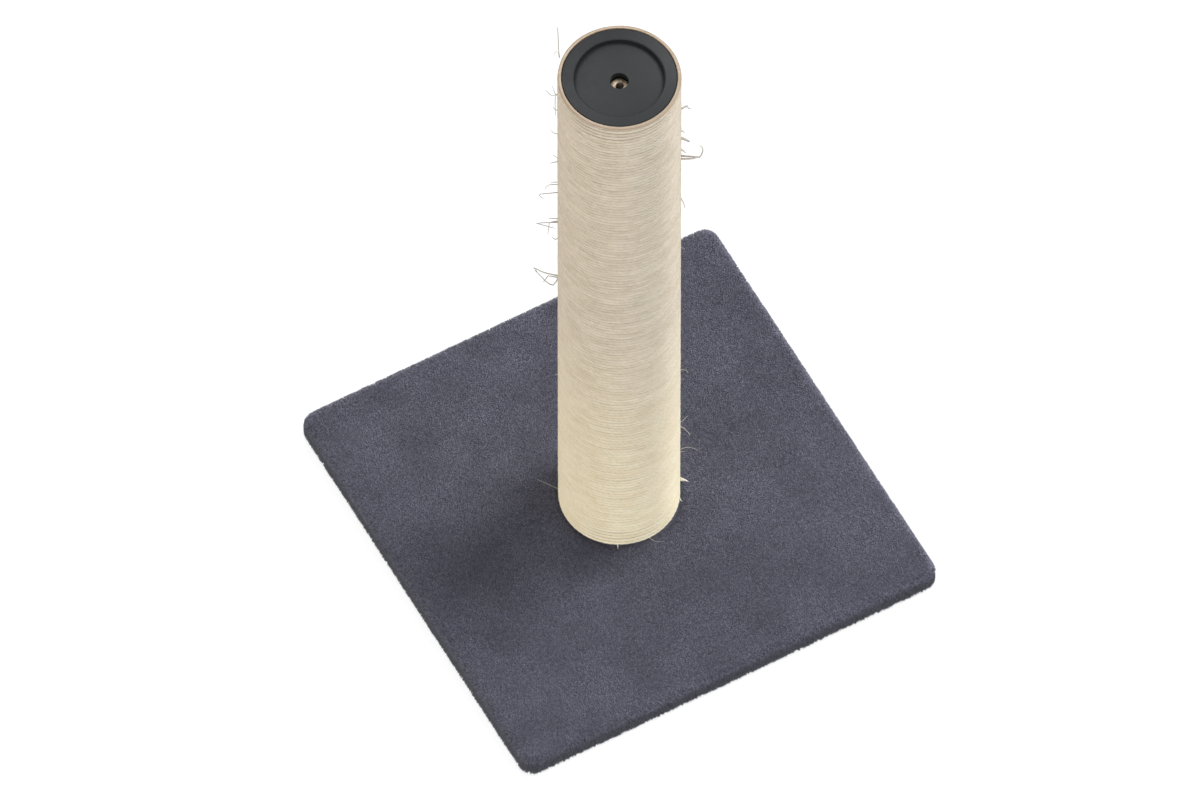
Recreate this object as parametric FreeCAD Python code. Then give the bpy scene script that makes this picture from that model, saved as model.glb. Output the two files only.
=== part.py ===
import FreeCAD, Part
import math
import os

from FreeCAD import Vector

# Cat scratching post: a square plush-covered base and an upright tube wound with sisal rope.
# Millimetres. The origin is on the floor under the middle of the base, +Z up, and the base's
# edges lie along X and Y.

# Base board
board_side = 450.0
board_thickness = 18.0
board_corner = 12.0
board_edge = 2.5
counterbore_diameter = 42.0
counterbore_depth = 8.0

# Plush cover, with its hem folded under the board
plush_thickness = 3.3
plush_top_round = 6.0
plush_foot_edge = 2.0
hem_thickness = 3.2
hem_width = 40.0
hem_mitre_gap = 1.2
seat_depth = 1.2
seat_clearance = 0.6

# Paper tube
post_length = 750.0
tube_diameter = 111.0
tube_wall = 3.5

# Rope winding
rope_diameter = 4.3
rope_turn_gap = 0.45
rope_seat_gap = 0.2
rope_stand = 0.65
rope_foot_gap = 0.3
end_turns = 5
fade_turns = 4
rope_end_angle = 61.0
rope_sides = 4

# Moulded plug, the same at both ends of the tube
flange_thickness = 2.5
flange_edge = 0.8
recess_diameter = 87.0
recess_depth = 6.0
recess_edge = 1.0
plug_wall = 2.2
spigot_length = 22.0
spigot_clearance = 0.25
spigot_lead = 1.0
tongue_count = 8
tongue_width = 20.0
well_diameter = 18.0
well_depth = 8.3
boss_wall = 3.5
boss_floor = 2.0
rib_thickness = 1.8
rib_depth = 11.0

# Threaded insert
thread_diameter = 8.0
insert_length = 14.0
insert_flange_diameter = 16.6
insert_flange_thickness = 1.6
insert_body_diameter = 12.0
insert_sides = 12
insert_clearance = 0.05

# Bolt and washer
bolt_clearance = 0.05
bolt_hole_clearance = 0.5
bolt_engagement = 11.6
bolt_head_width = 13.0
bolt_head_height = 5.3
bolt_tip_chamfer = 0.8
washer_diameter = 36.0
washer_thickness = 2.0
washer_hole_clearance = 0.3

# Staples: a crown and two legs of flat wire
staple_wire = 0.6
staple_wire_width = 1.2
hem_staple_crown = 12.0
hem_staple_leg = 10.0
hem_staples_per_side = 4
hem_staple_inset = 14.0
hem_staple_sink = 0.6
hem_staple_corner_space = 70.0
plug_staple_crown = 10.0
plug_staple_tip = 0.8
plug_staples_per_end = 4
plug_staple_depth = 12.0

# Heights and radii that follow
board_bottom = hem_thickness
board_top = board_bottom + board_thickness
plush_top = board_top + plush_thickness
foot_z = plush_top - seat_depth
post_top = foot_z + post_length
tube_radius = tube_diameter / 2
tube_bore_radius = tube_radius - tube_wall
rope_path_radius = tube_radius + rope_seat_gap + rope_diameter / 2
rope_outer_radius = rope_path_radius + rope_diameter / 2
rope_pitch = rope_diameter + rope_turn_gap
rope_top_z = post_top + rope_stand - rope_diameter / 2
rope_foot_z = foot_z + rope_foot_gap + rope_diameter / 2
insert_mouth_depth = recess_depth + well_depth
bolt_hole_radius = thread_diameter / 2 + bolt_hole_clearance
washer_bottom = board_bottom + counterbore_depth - washer_thickness

UP = Vector(0, 0, 1)
ACROSS = Vector(1, 0, 0)


def disc(radius, z_low, height):
    """An upright cylinder on the Z axis."""
    return Part.makeCylinder(radius, height, Vector(0, 0, z_low), UP)


def rounded_slab(side, corner, z_low, height):
    """A square slab centred on the Z axis, with its upright edges rounded."""
    slab = Part.makeBox(side, side, height, Vector(-side / 2, -side / 2, z_low))
    upright = [edge for edge in slab.Edges if is_upright(edge)]
    return slab.makeFillet(corner, upright)


def is_upright(edge):
    """True for a straight edge along Z."""
    span = edge.BoundBox
    return span.ZLength > 10 * max(span.XLength, span.YLength)


def edges_at(shape, z):
    """The edges of a shape that lie wholly in the level z."""
    return [edge for edge in shape.Edges if lies_at(edge, z)]


def lies_at(edge, z):
    """True for an edge in the level z."""
    return abs(edge.BoundBox.ZMin - z) < 1e-4 and abs(edge.BoundBox.ZMax - z) < 1e-4


def revolve(points, degrees=360):
    """A turned piece, whole or in part, from its closed half profile of (radius, z) points."""
    corners = [Vector(radius, 0, z) for radius, z in points]
    face = Part.Face(Part.makePolygon(corners + corners[:1]))
    return face.revolve(Vector(0, 0, 0), UP, degrees)


def turned(shape, degrees):
    """A copy turned about the Z axis."""
    copy = shape.copy()
    copy.rotate(Vector(0, 0, 0), UP, degrees)
    return copy


def around(shape, count):
    """Copies of a shape evenly spaced about the Z axis."""
    return [turned(shape, 360.0 / count * place) for place in range(count)]


def polygon_bar(corner_radius, sides, length):
    """An upright bar of regular polygon section, from z = 0 up."""
    corners = []
    for step in range(sides):
        angle = 2 * math.pi * step / sides
        corners.append(Vector(corner_radius * math.cos(angle), corner_radius * math.sin(angle), 0))
    return Part.Face(Part.makePolygon(corners + corners[:1])).extrude(UP * length)


def at_top(shape):
    """A plug part, drawn with its flange face at z = 0, in its place at the post's top."""
    copy = shape.copy()
    copy.translate(Vector(0, 0, post_top))
    return copy


def at_foot(shape):
    """The same part, upside down at the post's foot."""
    copy = shape.copy()
    copy.rotate(Vector(0, 0, 0), ACROSS, 180)
    copy.translate(Vector(0, 0, foot_z))
    return copy


# Base

def board_blank():
    """The board with its rounded corners and upper edge, before any hole."""
    blank = rounded_slab(board_side, board_corner, board_bottom, board_thickness)
    return blank.makeChamfer(board_edge, edges_at(blank, board_top))


def base_board():
    """The board with its bolt hole, its counterbore and the staples' leg holes."""
    board = board_blank()
    board = board.cut(disc(bolt_hole_radius, board_bottom - 1, board_thickness + 2))
    board = board.cut(disc(counterbore_diameter / 2, board_bottom - 1, counterbore_depth + 1))
    return board.cut(Part.makeCompound(hem_staple_solids()))


def mitre_cuts():
    """Thin cuts on the diagonals, where the hem's four flaps meet."""
    reach = board_side / 2 * math.sqrt(2)
    inner = (board_side / 2 - hem_width - 1) * math.sqrt(2)
    outer = reach - board_corner * (math.sqrt(2) - 1) - 0.5
    cut = Part.makeBox(outer - inner, hem_mitre_gap, hem_thickness + 1, Vector(inner, -hem_mitre_gap / 2, -1))
    return Part.makeCompound([turned(cut, 45 + 90 * quarter) for quarter in range(4)])


def plush_cover():
    """Plush over the board's top and edges and under its rim, pressed down under the post."""
    side = board_side + 2 * plush_thickness
    cover = rounded_slab(side, board_corner + plush_thickness, 0, plush_top)
    cover = cover.makeFillet(plush_top_round, edges_at(cover, plush_top))
    cover = cover.makeChamfer(plush_foot_edge, edges_at(cover, 0))
    cover = cover.cut(board_blank())
    window = board_side - 2 * hem_width
    cover = cover.cut(rounded_slab(window, board_corner, -1, hem_thickness + 1))
    cover = cover.cut(mitre_cuts())
    cover = cover.cut(disc(rope_outer_radius + seat_clearance, foot_z, seat_depth + 1))
    cover = cover.cut(disc(bolt_hole_radius, board_top - 1, plush_thickness + 2))
    cover = cover.cut(Part.makeCompound(hem_staple_solids()))
    return cover.cut(Part.makeCompound(hem_staple_dents()))


def staple(crown, leg):
    """A staple with its crown along X, from z = 0 to the wire's thickness, and its legs up."""
    side_y = -staple_wire_width / 2
    bridge = Part.makeBox(crown, staple_wire_width, staple_wire, Vector(-crown / 2, side_y, 0))
    legs = []
    for corner in (-crown / 2, crown / 2 - staple_wire):
        legs.append(Part.makeBox(staple_wire, staple_wire_width, leg, Vector(corner, side_y, 0)))
    return bridge.fuse(legs).removeSplitter()


def along_hem(shape):
    """Copies of a shape, evenly spaced along the middle of each side's hem."""
    run = board_side - 2 * hem_staple_corner_space
    step = run / (hem_staples_per_side - 1)
    row_y = -(board_side / 2 - hem_width + hem_staple_inset)
    copies = []
    for side in range(4):
        for place in range(hem_staples_per_side):
            one = shape.copy()
            one.translate(Vector(-run / 2 + place * step, row_y, 0))
            copies.append(turned(one, 90 * side))
    return copies


def hem_staple_solids():
    """The hem's staples, with their crowns a little above the floor."""
    one = staple(hem_staple_crown, hem_staple_leg)
    one.translate(Vector(0, 0, hem_staple_sink))
    return along_hem(one)


def hem_staple_dents():
    """The dents in the plush under the staples' crowns."""
    corner = Vector(-hem_staple_crown / 2, -staple_wire_width / 2, -1)
    return along_hem(Part.makeBox(hem_staple_crown, staple_wire_width, hem_staple_sink + 1, corner))


def base_washer():
    """The wide washer in the board's counterbore."""
    washer = disc(washer_diameter / 2, washer_bottom, washer_thickness)
    hole = thread_diameter / 2 + washer_hole_clearance
    return washer.cut(disc(hole, washer_bottom - 1, washer_thickness + 2))


def base_bolt():
    """The hex head bolt, up through the washer, the board and the plush into the foot insert."""
    tip = foot_z + insert_mouth_depth + bolt_engagement
    radius = thread_diameter / 2 - bolt_clearance
    shank = disc(radius, washer_bottom, tip - washer_bottom)
    shank = shank.makeChamfer(bolt_tip_chamfer, edges_at(shank, tip))
    return shank.fuse(hex_head()).removeSplitter()


def hex_head():
    """The bolt's hexagonal head, below the washer."""
    head = polygon_bar(bolt_head_width / math.sqrt(3), 6, bolt_head_height)
    head.translate(Vector(0, 0, washer_bottom - bolt_head_height))
    return head


# Plug, drawn with its flange face at z = 0 and its body below

def plug_shell():
    """The plug's turned walls: flange, recess, floor and the boss with its well."""
    recess = recess_diameter / 2
    well = well_diameter / 2
    boss = well + boss_wall
    body = insert_body_diameter / 2 + insert_clearance
    floor_under = -recess_depth - plug_wall
    seat = -insert_mouth_depth - insert_flange_thickness
    hole_end = -insert_mouth_depth - insert_length
    return revolve([(recess + recess_edge, 0), (tube_radius - flange_edge, 0), (tube_radius, -flange_edge),
                    (tube_radius, -flange_thickness), (recess + plug_wall, -flange_thickness),
                    (recess + plug_wall, floor_under), (boss, floor_under), (boss, hole_end - boss_floor),
                    (0, hole_end - boss_floor), (0, hole_end), (body, hole_end), (body, seat), (well, seat),
                    (well, -recess_depth), (recess, -recess_depth), (recess, -recess_edge)])


def plug_tongues():
    """The spring tongues that grip the tube's bore, with a lead at their ends."""
    outer = tube_bore_radius - spigot_clearance
    inner = outer - plug_wall
    end = -flange_thickness - spigot_length
    width = math.degrees(tongue_width / outer)
    root = -flange_thickness / 2
    tongue = revolve([(inner, root), (outer, root), (outer, end + 2 * spigot_lead),
                      (outer - spigot_lead, end), (inner, end)], width)
    return around(turned(tongue, -width / 2), tongue_count)


def plug_ribs():
    """Radial ribs under the recess, from the boss to the tongues."""
    inner = well_diameter / 2 + boss_wall / 2
    outer = tube_bore_radius - spigot_clearance - plug_wall / 2
    top = -recess_depth - plug_wall / 2
    low = -recess_depth - plug_wall - rib_depth
    rib = Part.makeBox(outer - inner, rib_thickness, top - low, Vector(inner, -rib_thickness / 2, low))
    return around(rib, tongue_count)


def plug():
    """The whole moulding, pierced by the staples that hold it in the tube."""
    body = plug_shell().fuse(plug_tongues() + plug_ribs()).removeSplitter()
    return body.cut(Part.makeCompound(plug_staple_ring()))


def insert():
    """The threaded insert: a flange, a knurled body cut as flats, and a through bore."""
    top = -insert_mouth_depth
    flange = disc(insert_flange_diameter / 2, top - insert_flange_thickness, insert_flange_thickness)
    body = polygon_bar(insert_body_diameter / 2, insert_sides, insert_length)
    body.translate(Vector(0, 0, top - insert_length))
    bore = disc(thread_diameter / 2, top - insert_length - 1, insert_length + 2)
    return flange.fuse(body).cut(bore).removeSplitter()


def plug_staple_ring():
    """One end's staples, sunk level with the tube's surface and through the spigot's wall."""
    leg = tube_wall + spigot_clearance + plug_wall + plug_staple_tip
    one = staple(plug_staple_crown, leg)
    one.rotate(Vector(0, 0, 0), ACROSS, 90)
    one.translate(Vector(0, tube_radius, -plug_staple_depth))
    return around(one, plug_staples_per_end)


def plug_staple_solids():
    """The staples of both ends."""
    ring = plug_staple_ring()
    return [at_top(one) for one in ring] + [at_foot(one) for one in ring]


def post_tube():
    """The paper tube between the two flanges, slotted for the staples."""
    low = foot_z + flange_thickness
    length = post_length - 2 * flange_thickness
    tube = disc(tube_radius, low, length).cut(disc(tube_bore_radius, low - 1, length + 2))
    return tube.cut(Part.makeCompound(plug_staple_solids()))


# Rope winding

def fall_share(turn):
    """How much of a turn's fall lies in its last quarter: all of it at the rope's end, and
    a quarter of it, which is an even helix, once the winding has settled."""
    settled = min(1.0, turn / fade_turns)
    return 1.0 - 0.75 * settled


def winding_node(quarter):
    """The rope's centre and direction after this many quarter turns from its end at z = 0."""
    turn, step = divmod(quarter, 4)
    gentle = (1.0 - fall_share(turn)) / 3
    angle = -quarter * math.pi / 2
    centre = Vector(rope_path_radius * math.cos(angle), rope_path_radius * math.sin(angle),
                    -rope_pitch * (turn + gentle * step))
    slope = -rope_pitch * gentle / (rope_path_radius * math.pi / 2)
    direction = Vector(math.sin(angle), -math.cos(angle), slope)
    return centre, direction.normalize()


def biarc(start, start_direction, end, end_direction):
    """Two arcs that leave start and reach end in the given directions and meet smoothly."""
    chord = end - start
    both = start_direction + end_direction
    bend = 2 * (1 - start_direction.dot(end_direction))
    along = chord.dot(both)
    reach = (math.sqrt(along * along + bend * chord.dot(chord)) - along) / bend
    joint = (start + start_direction * reach + end - end_direction * reach) * 0.5
    return [arc_from(start, start_direction, joint), arc_to(joint, end, end_direction)]


def arc_from(start, direction, end):
    """The arc from start to end that leaves start in this direction."""
    chord = end - start
    normal = direction * chord.dot(chord) - chord * direction.dot(chord)
    side = normal.cross(chord).cross(chord)
    half = direction.getAngle(chord) / 2
    bulge = side.normalize() * (chord.Length / 2 * math.tan(half))
    if bulge.dot(direction - chord * (direction.dot(chord) / chord.dot(chord))) < 0:
        bulge = bulge * -1
    return Part.Arc(start, (start + end) * 0.5 + bulge, end)


def arc_to(start, end, direction):
    """The arc from start to end that arrives at end in this direction."""
    back = arc_from(end, direction * -1, start)
    middle = back.value((back.FirstParameter + back.LastParameter) / 2)
    return Part.Arc(start, middle, end)


def winding_path():
    """The spine of one end's turns: a straight tail, the turns and a straight tail."""
    quarters = 4 * end_turns
    first, first_direction = winding_node(0)
    pieces = [Part.LineSegment(first - first_direction * rope_diameter, first)]
    for quarter in range(quarters):
        start, start_direction = winding_node(quarter)
        end, end_direction = winding_node(quarter + 1)
        pieces += biarc(start, start_direction, end, end_direction)
    last, last_direction = winding_node(quarters)
    pieces.append(Part.LineSegment(last, last + last_direction * rope_diameter))
    return pieces


def winding_section(centre, direction):
    """The rope's faceted section, square to its path."""
    outward = Vector(centre.x, centre.y, 0).normalize()
    upward = direction.cross(outward).normalize()
    corners = []
    for step in range(rope_sides):
        angle = 2 * math.pi * step / rope_sides
        corners.append(centre + outward * (rope_diameter / 2 * math.cos(angle))
                       + upward * (rope_diameter / 2 * math.sin(angle)))
    return Part.makePolygon(corners + corners[:1])


def winding():
    """One end's turns as one unbroken tube, with its end at z = 0."""
    pieces = winding_path()
    spine = Part.Wire([piece.toShape() for piece in pieces])
    first, direction = winding_node(0)
    section = winding_section(first - direction * rope_diameter, direction)
    return spine.makePipeShell([section], True, False)


def least_gap():
    """The least distance between the surfaces of two turns, measured on points of the path."""
    per_piece = 6
    points = []
    for piece in winding_path()[1:-1]:
        low, high = piece.FirstParameter, piece.LastParameter
        points += [piece.value(low + (high - low) * step / per_piece) for step in range(per_piece)]
    apart = 4 * per_piece
    least = min((one - other).Length for index, one in enumerate(points) for other in points[index + apart:])
    return least - rope_diameter


def sisal_rope():
    """The turns at the top and the foot, and a plain sleeve for the turns between them."""
    end = winding()
    top = turned(end, rope_end_angle)
    top.translate(Vector(0, 0, rope_top_z))
    foot = end.copy()
    foot.rotate(Vector(0, 0, 0), ACROSS, 180)
    foot.rotate(Vector(0, 0, 0), UP, rope_end_angle)
    foot.translate(Vector(0, 0, rope_foot_z))
    reach = end_turns * rope_pitch + rope_diameter / 2 + rope_turn_gap
    low = rope_foot_z + reach
    high = rope_top_z - reach
    sleeve = disc(rope_outer_radius, low, high - low)
    sleeve = sleeve.cut(disc(tube_radius + rope_seat_gap, low - 1, high - low + 2))
    return Part.makeCompound([top, sleeve, foot])


def main():
    nodes = {
        "base_board": base_board(),
        "plush_cover": plush_cover(),
        "hem_staples": Part.makeCompound(hem_staple_solids()),
        "base_washer": base_washer(),
        "base_bolt": base_bolt(),
        "bottom_plug": at_foot(plug()),
        "threaded_inserts": Part.makeCompound([at_top(insert()), at_foot(insert())]),
        "post_tube": post_tube(),
        "plug_staples": Part.makeCompound(plug_staple_solids()),
        "top_plug": at_top(plug()),
        "sisal_rope": sisal_rope(),
    }
    os.makedirs("parts", exist_ok=True)
    for name, shape in nodes.items():
        shape.exportStep("parts/" + name + ".step")
    print("least gap between two turns of the rope:", round(least_gap(), 3), "mm")


main()
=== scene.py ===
"""Cat scratching post: a tube wound with sisal rope on a square base under plush.

Geometry is worked out in millimetres and scaled to metres when a mesh is made. The origin
is on the floor under the middle of the base, with +Z up.
"""

import math

import bpy
import numpy as np
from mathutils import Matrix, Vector


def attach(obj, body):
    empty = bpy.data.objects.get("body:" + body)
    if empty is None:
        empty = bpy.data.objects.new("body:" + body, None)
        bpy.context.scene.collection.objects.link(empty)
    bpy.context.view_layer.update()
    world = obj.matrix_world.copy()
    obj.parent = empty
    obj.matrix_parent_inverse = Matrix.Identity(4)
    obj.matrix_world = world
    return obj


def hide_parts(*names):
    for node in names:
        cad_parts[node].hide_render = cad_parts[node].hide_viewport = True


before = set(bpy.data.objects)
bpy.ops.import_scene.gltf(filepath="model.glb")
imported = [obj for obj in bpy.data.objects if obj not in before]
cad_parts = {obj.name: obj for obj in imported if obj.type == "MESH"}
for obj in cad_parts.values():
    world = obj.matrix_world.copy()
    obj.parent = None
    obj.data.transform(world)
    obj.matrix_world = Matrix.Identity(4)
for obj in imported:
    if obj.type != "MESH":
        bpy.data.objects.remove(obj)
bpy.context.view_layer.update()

MM = 0.001
FULL_TURN = 2 * math.pi

# Post and rope
POST_TOP_Z = 773.3
SEAT_Z = 23.3
ROPE_TOP_Z = 771.8
ROPE_FOOT_Z = 25.75
ROPE_TURNS = 157
ROPE_PITCH = (ROPE_TOP_Z - ROPE_FOOT_Z) / ROPE_TURNS
ROPE_CENTRE_RADIUS = 57.15
ROPE_OUTER_RADIUS = 59.5
ROPE_END_ANGLE = math.radians(61.0)
ROPE_FADE_TURNS = 4
ROPE_TAIL_TURNS = 0.24
ROPE_HALF_HEIGHT = 2.39
ROPE_HALF_GAP = 2.376  # above and below its centre, where a turn lies on its neighbours
ROPE_SQUASH = 0.90
ROPE_SECTION_ANGLES = (-114, -90, -67, -45, -22, 0, 22, 45, 67, 90, 114, 180)
ROPE_RING_STEP = 1.6
ROPE_BAKE_ROWS = 65
ROPE_STRANDS = 3
ROPE_LAY = 16.9
ROPE_CLEFT = 0.045
ROPE_FOOT_CLEFT = 0.16
ROPE_FOOT_CLEFT_TURNS = 1.1

# How the rope varies along its length: how much, the millimetres between changes, and a seed
ROPE_SWELLS = ((0.022, 9.0, 11), (0.018, 47.0, 12))
ROPE_SWAY_OUT = (0.14, 19.0, 13)
ROPE_SWAY_UP = (0.17, 27.0, 14)
ROPE_LAY_DRIFT = (2.4, 140.0, 15)
ROPE_TONES = ((0.25, 210.0, 16), (0.8, 12.0, 17))

# Board, and the plush's outside in the solid model
BOARD_HALF = 225.0
BOARD_CORNER = 12.0
BOARD_BOTTOM_Z = 3.2
BOARD_TOP_Z = 21.2
BOARD_EDGE = 2.5
BOLT_HOLE_RADIUS = 4.6
PLUSH_HALF = 228.3
PLUSH_CORNER = 15.3
PLUSH_TOP_Z = 24.5

# The plush's woven ground, which carries the pile
GROUND_HALF = BOARD_HALF + 2.9
GROUND_TOP_Z = BOARD_TOP_Z + 1.6
GROUND_ROUND = 6.5
GROUND_CORNER = PLUSH_CORNER - 1.7
SEAT_RADIUS = 60.6
GROOVE_Z = 21.9
HEM_Z = 0.35
HEM_INNER_HALF = 185.0
HEM_INNER_CORNER = 12.0
HEM_STAPLES = [-155.0 + 103.33 * place for place in range(4)]
HEM_STAPLE_ROW = 199.0
HEM_STAPLE_HALF = 6.5

# The pile: millimetres between tufts on the top and round the edge, how far down the side
# they stand, their length and the thickness of their feet
PILE_TOP_SPACING = 1.1
PILE_BAND_SPACING = 0.95
PILE_BAND_DEPTH = 19.8
PILE_LENGTH = 2.7
PILE_RADII = (0.60, 0.85)
PILE_ROOT_DEPTH = 0.45


# ---------------------------------------------------------------- meshes


def new_object(name, data):
    thing = bpy.data.objects.new(name, data)
    bpy.context.scene.collection.objects.link(thing)
    return thing


def mesh_piece(name, points, faces, material):
    """Makes a smooth piece from points in millimetres and arrays of faces, and rides it."""
    mesh = bpy.data.meshes.new(name)
    mesh.vertices.add(len(points))
    mesh.vertices.foreach_set("co", (points * MM).astype(np.float32).ravel())
    corners = np.concatenate([group.ravel() for group in faces])
    sizes = np.concatenate([np.full(len(group), group.shape[1]) for group in faces])
    starts = np.concatenate([[0], np.cumsum(sizes)[:-1]])
    mesh.loops.add(len(corners))
    mesh.loops.foreach_set("vertex_index", corners.astype(np.int32))
    mesh.polygons.add(len(sizes))
    mesh.polygons.foreach_set("loop_start", starts.astype(np.int32))
    mesh.update(calc_edges=True)
    mesh.shade_smooth()
    mesh.materials.append(material)
    piece = new_object(name, mesh)
    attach(piece, "root")
    return piece


def band_faces(count, sides, joined=False):
    """Faces between rows of points that go round; joined closes the last row on the first."""
    i = np.arange(sides)[None]
    j = (i + 1) % sides
    row = np.arange(count if joined else count - 1)[:, None]
    after = (row + 1) % count
    quads = [row * sides + i, after * sides + i, after * sides + j, row * sides + j]
    return np.stack(quads, -1).reshape(-1, 4)


def end_faces(count, sides):
    """Fans over the first and last row, round two points that come after all the rows."""
    i = np.arange(sides)
    j = (i + 1) % sides
    total = count * sides
    first = np.stack([np.full(sides, total), i, j], -1)
    last = np.stack([np.full(sides, total + 1), total - sides + j, total - sides + i], -1)
    return np.concatenate([first, last])


def give_values(piece, name, values):
    """Stores one number per point, for the material to read."""
    layer = piece.data.attributes.new(name, "FLOAT", "POINT")
    layer.data.foreach_set("value", values.astype(np.float32).ravel())


def give_map(piece, name, places):
    """Stores a flat layout with one place per face corner."""
    layer = piece.data.uv_layers.new(name=name)
    layer.uv.foreach_set("vector", places.astype(np.float32).ravel())


def lumps(x, y, cell, seed):
    """Smooth random values from -1 to 1 over a plane, about one bump to each cell."""
    table = np.random.default_rng(seed).uniform(-1, 1, (257, 257))
    across, along = x / cell + 1000.37, y / cell + 1000.61
    column, row = np.floor(across).astype(int), np.floor(along).astype(int)
    fx, fy = across - column, along - row
    fx, fy = fx * fx * (3 - 2 * fx), fy * fy * (3 - 2 * fy)
    column, row = column % 256, row % 256
    low = table[row, column] * (1 - fx) + table[row, column + 1] * fx
    high = table[row + 1, column] * (1 - fx) + table[row + 1, column + 1] * fx
    return low * (1 - fy) + high * fy


def wander(length, amount, knot, seed):
    """A slow random walk along a length, up to this amount either way, with a turn at each knot."""
    count = int(length.max() / knot) + 3
    values = np.random.default_rng(seed).uniform(-1, 1, count)
    return amount * np.interp(length, np.arange(count) * knot, values)


def unit(vectors):
    return vectors / np.maximum(np.linalg.norm(vectors, axis=-1, keepdims=True), 1e-9)


def tapered_strands(paths, radii, seed):
    """Closed three-sided strands along paths of shape (count, points, 3).

    radii holds one radius for each point but the last, which is the tip. Returns points,
    quads, triangles, a value from root to tip for each point and a bake layout. A strand
    of two points has only triangles.
    """
    rng = np.random.default_rng(seed)
    count, steps = paths.shape[:2]
    rings = steps - 1
    along = np.empty_like(paths)
    along[:, 1:-1] = paths[:, 2:] - paths[:, :-2]
    along[:, 0] = paths[:, 1] - paths[:, 0]
    along[:, -1] = paths[:, -1] - paths[:, -2]
    along = unit(along)
    hint = unit(rng.normal(size=(count, 1, 3)))
    side = unit(np.cross(along, hint))
    other = np.cross(along, side)
    angle = np.arange(3) * FULL_TURN / 3
    ring = (
        side[:, :-1, None] * np.cos(angle)[None, None, :, None]
        + other[:, :-1, None] * np.sin(angle)[None, None, :, None]
    )
    ring = paths[:, :-1, None] + ring * radii.reshape(-1, rings, 1, 1)
    points = np.concatenate([ring.reshape(count, rings * 3, 3), paths[:, -1:]], axis=1)
    each = rings * 3 + 1
    first = (np.arange(count) * each)[:, None, None]
    quads = []
    for level in range(rings - 1):
        for i in range(3):
            j = (i + 1) % 3
            low = level * 3
            quads.append([low + i, low + j, low + 3 + j, low + 3 + i])
    top = (rings - 1) * 3
    tips = [[top + i, top + (i + 1) % 3, each - 1] for i in range(3)]
    tips.append([2, 1, 0])
    quads = (first + np.array(quads, int).reshape(1, -1, 4)).reshape(-1, 4)
    triangles = (first + np.array(tips)[None]).reshape(-1, 3)
    share = np.concatenate([np.repeat(np.arange(rings) / rings, 3), [1.0]])
    tip_share = np.tile(share, count)
    return points.reshape(-1, 3), quads, triangles, tip_share, strand_layout(count, rings)


def strand_layout(count, rings):
    """A square cell of the bake layout for each strand, its three sides next to each other."""
    cells = math.ceil(math.sqrt(count))
    corner = np.stack([np.arange(count) % cells, np.arange(count) // cells], -1)
    edge = np.linspace(0.08, 0.92, 4)
    level = np.linspace(0.2, 0.92, rings + 1)
    quads, tips = [], []
    for step in range(rings - 1):
        for i in range(3):
            low, high = level[step], level[step + 1]
            quads += [(edge[i], low), (edge[i + 1], low), (edge[i + 1], high), (edge[i], high)]
    for i in range(3):
        middle = (edge[i] + edge[i + 1]) / 2
        tips += [(edge[i], level[-2]), (edge[i + 1], level[-2]), (middle, level[-1])]
    tips += [(0.3, 0.04), (0.7, 0.04), (0.5, 0.16)]
    places = []
    for local in (quads, tips):
        spots = corner[:, None] + np.array(local).reshape(1, -1, 2)
        places.append(spots.reshape(-1, 2) / cells)
    return np.concatenate(places)


# ---------------------------------------------------------------- materials


class Bench:
    """Places nodes in one tree and joins them."""

    def __init__(self, tree):
        self.tree = tree

    def join(self, socket, source):
        """Links a socket to another node's output, or sets it to a plain value."""
        if isinstance(source, bpy.types.NodeSocket):
            self.tree.links.new(source, socket)
        else:
            socket.default_value = source

    def put(self, kind, wires=None, **settings):
        node = self.tree.nodes.new(kind)
        for key, value in settings.items():
            setattr(node, key, value)
        for socket, source in (wires or {}).items():
            self.join(node.inputs[socket], source)
        return node

    def sum(self, operation, a, b, clamp=False):
        settings = {"operation": operation, "use_clamp": clamp}
        return self.put("ShaderNodeMath", {0: a, 1: b}, **settings).outputs[0]

    def total(self, *values):
        """The sum of several values, kept between 0 and 1."""
        result = values[0]
        for value in values[1:-1]:
            result = self.sum("ADD", result, value)
        return self.sum("ADD", result, values[-1], clamp=True)

    def spread(self, value, low, high, to_low=0.0, to_high=1.0):
        wires = {"Value": value, "From Min": low, "From Max": high}
        wires.update({"To Min": to_low, "To Max": to_high})
        return self.put("ShaderNodeMapRange", wires).outputs["Result"]

    def blend(self, share, a, b, how="MIX"):
        wires = {0: share, 6: a, 7: b}
        return self.put("ShaderNodeMix", wires, data_type="RGBA", blend_type=how).outputs[2]

    def shaded(self, colour, value):
        """A colour times one value for red, green and blue."""
        grey = self.put("ShaderNodeCombineColor", {0: value, 1: value, 2: value}).outputs[0]
        return self.blend(1.0, colour, grey, "MULTIPLY")

    def place(self):
        return self.put("ShaderNodeTexCoord").outputs["Object"]

    def height(self):
        return self.put("ShaderNodeSeparateXYZ", {0: self.place()}).outputs["Z"]

    def stretched(self, vector, by):
        return self.put("ShaderNodeVectorMath", {0: vector, 1: by}, operation="MULTIPLY").outputs[0]

    def along(self, vector, direction):
        """How far a place lies along a direction."""
        wires = {0: vector, 1: direction}
        return self.put("ShaderNodeVectorMath", wires, operation="DOT_PRODUCT").outputs["Value"]

    def noise(self, vector, scale, detail=2.0, roughness=0.5, distortion=0.0):
        wires = {"Vector": vector, "Scale": scale, "Detail": detail}
        wires.update({"Roughness": roughness, "Distortion": distortion})
        return self.put("ShaderNodeTexNoise", wires).outputs["Fac"]


def new_group(name, inputs, outputs):
    tree = bpy.data.node_groups.new(name, "ShaderNodeTree")
    for label, kind, value in inputs:
        socket = tree.interface.new_socket(label, in_out="INPUT", socket_type=kind)
        socket.default_value = value
    for label, kind in outputs:
        tree.interface.new_socket(label, in_out="OUTPUT", socket_type=kind)
    bench = Bench(tree)
    return bench, bench.put("NodeGroupInput"), bench.put("NodeGroupOutput")


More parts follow.
